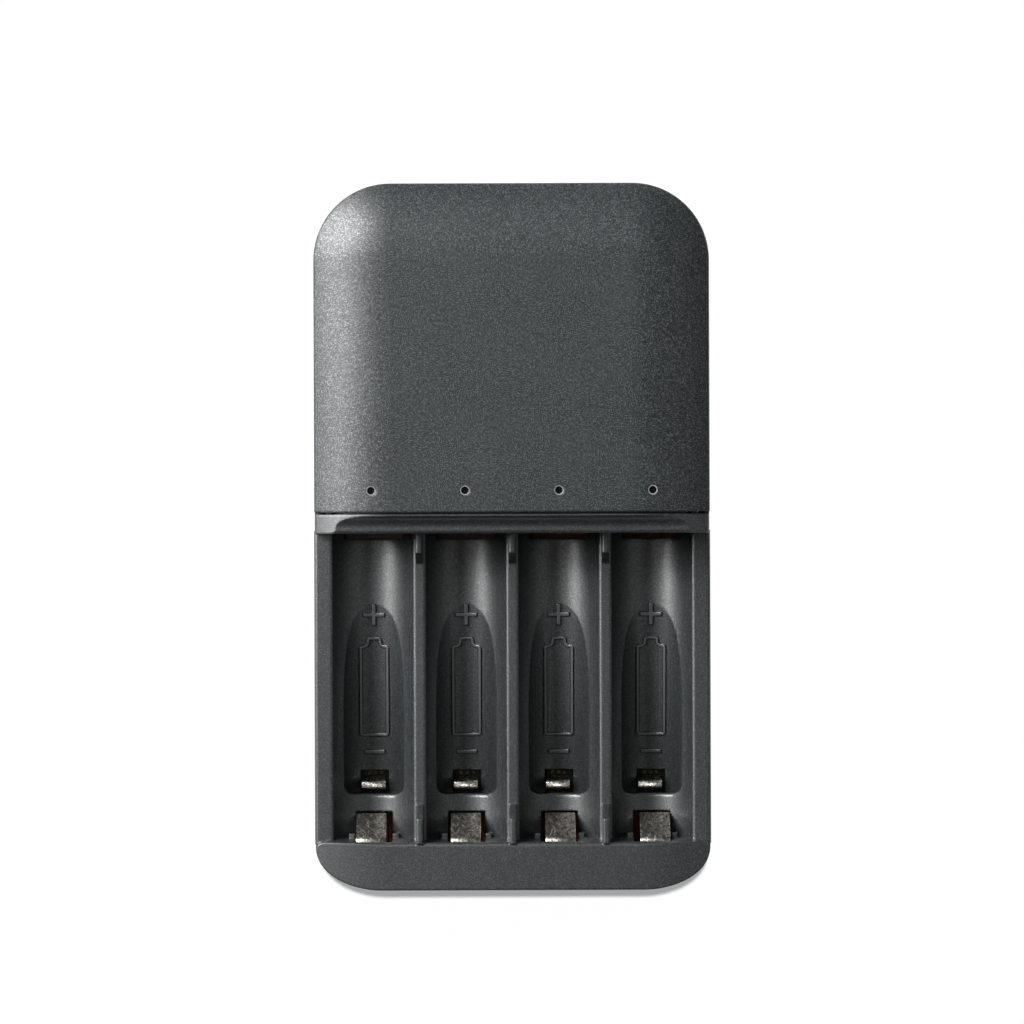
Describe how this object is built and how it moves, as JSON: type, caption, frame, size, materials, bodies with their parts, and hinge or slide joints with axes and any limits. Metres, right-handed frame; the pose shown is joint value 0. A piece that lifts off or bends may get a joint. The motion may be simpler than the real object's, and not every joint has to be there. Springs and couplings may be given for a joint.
{
  "type": "aa battery charger",
  "caption": "Wall charger for AA and AAA cells: crowned cover with indicator lights, open round-bottomed bays with sprung contacts, fold-out mains plug in the back.",
  "frame": {"origin": "middle of the back face, on which the charger lies", "axes": "+X across the bays to the right, +Y towards the cover end, +Z out of the front"},
  "size_m": [0.0708, 0.1264, 0.03],
  "materials": {
    "shell_plastic": "fine spark texture, charcoal",
    "plug_plastic": "smooth satin black",
    "blade_metal": "nickel plate",
    "screw_steel": "zinc plate",
    "contact_nickel": "nickel plate with rub marks",
    "board_green": "solder mask",
    "board_brown": "bare phenolic",
    "ferrite": "pressed ferrite",
    "winding_tape": "yellow tape",
    "capacitor_sleeve": "shrink sleeve",
    "fuse_body": "moulded",
    "chip_black": "moulded epoxy",
    "led_lens": "clear epoxy",
    "light_pipe": "clear acrylic"
  },
  "bodies": {
    "case": {"rear_housing": "shell_plastic", "front_housing": "shell_plastic", "top_cover": "shell_plastic", "plug_retainer": "plug_plastic", "retainer_screws": "screw_steel", "case_screws": "screw_steel", "ac_spring_left": "contact_nickel", "ac_spring_right": "contact_nickel", "circuit_board": "board_green", "positive_board": "board_brown", "negative_board": "board_brown", "transformer_core": "ferrite", "transformer_winding": "winding_tape", "mains_capacitor": "capacitor_sleeve", "output_capacitor": "capacitor_sleeve", "fuse": "fuse_body", "rectifier": "chip_black", "controller_chip": "chip_black", "positive_contact_1": "contact_nickel", "positive_contact_2": "contact_nickel", "positive_contact_3": "contact_nickel", "positive_contact_4": "contact_nickel", "status_led_1": "led_lens", "status_led_2": "led_lens", "status_led_3": "led_lens", "status_led_4": "led_lens", "light_pipe_1": "light_pipe", "light_pipe_2": "light_pipe", "light_pipe_3": "light_pipe", "light_pipe_4": "light_pipe"},
    "plug": {"plug_hub": "plug_plastic", "plug_blade_left": "blade_metal", "plug_blade_right": "blade_metal"},
    "aa_leaf_1": {"aa_contact_1": "contact_nickel"},
    "aa_leaf_2": {"aa_contact_2": "contact_nickel"},
    "aa_leaf_3": {"aa_contact_3": "contact_nickel"},
    "aa_leaf_4": {"aa_contact_4": "contact_nickel"},
    "aaa_leaf_1": {"aaa_contact_1": "contact_nickel"},
    "aaa_leaf_2": {"aaa_contact_2": "contact_nickel"},
    "aaa_leaf_3": {"aaa_contact_3": "contact_nickel"},
    "aaa_leaf_4": {"aaa_contact_4": "contact_nickel"}
  },
  "joints": [
    {"name": "plug_hinge", "type": "hinge", "parent": "case", "child": "plug", "pos_m": [0, 0.032, 0.0044], "axis": [-1, 0, 0], "range_deg": [0, 90]},
    {"name": "aa_leaf_1_flex", "type": "hinge", "parent": "case", "child": "aa_leaf_1", "pos_m": [-0.0249, -0.0574, 0.00535], "axis": [1, 0, 0], "range_deg": [0, 6], "stiffness_Nm_per_rad": 0.15},
    {"name": "aa_leaf_2_flex", "type": "hinge", "parent": "case", "child": "aa_leaf_2", "pos_m": [-0.0083, -0.0574, 0.00535], "axis": [1, 0, 0], "range_deg": [0, 6], "stiffness_Nm_per_rad": 0.15},
    {"name": "aa_leaf_3_flex", "type": "hinge", "parent": "case", "child": "aa_leaf_3", "pos_m": [0.0083, -0.0574, 0.00535], "axis": [1, 0, 0], "range_deg": [0, 6], "stiffness_Nm_per_rad": 0.15},
    {"name": "aa_leaf_4_flex", "type": "hinge", "parent": "case", "child": "aa_leaf_4", "pos_m": [0.0249, -0.0574, 0.00535], "axis": [1, 0, 0], "range_deg": [0, 6], "stiffness_Nm_per_rad": 0.15},
    {"name": "aaa_leaf_1_flex", "type": "hinge", "parent": "case", "child": "aaa_leaf_1", "pos_m": [-0.0249, -0.0451, 0.00535], "axis": [1, 0, 0], "range_deg": [0, 5], "stiffness_Nm_per_rad": 0.06},
    {"name": "aaa_leaf_2_flex", "type": "hinge", "parent": "case", "child": "aaa_leaf_2", "pos_m": [-0.0083, -0.0451, 0.00535], "axis": [1, 0, 0], "range_deg": [0, 5], "stiffness_Nm_per_rad": 0.06},
    {"name": "aaa_leaf_3_flex", "type": "hinge", "parent": "case", "child": "aaa_leaf_3", "pos_m": [0.0083, -0.0451, 0.00535], "axis": [1, 0, 0], "range_deg": [0, 5], "stiffness_Nm_per_rad": 0.06},
    {"name": "aaa_leaf_4_flex", "type": "hinge", "parent": "case", "child": "aaa_leaf_4", "pos_m": [0.0249, -0.0451, 0.00535], "axis": [1, 0, 0], "range_deg": [0, 5], "stiffness_Nm_per_rad": 0.06}
  ]
}
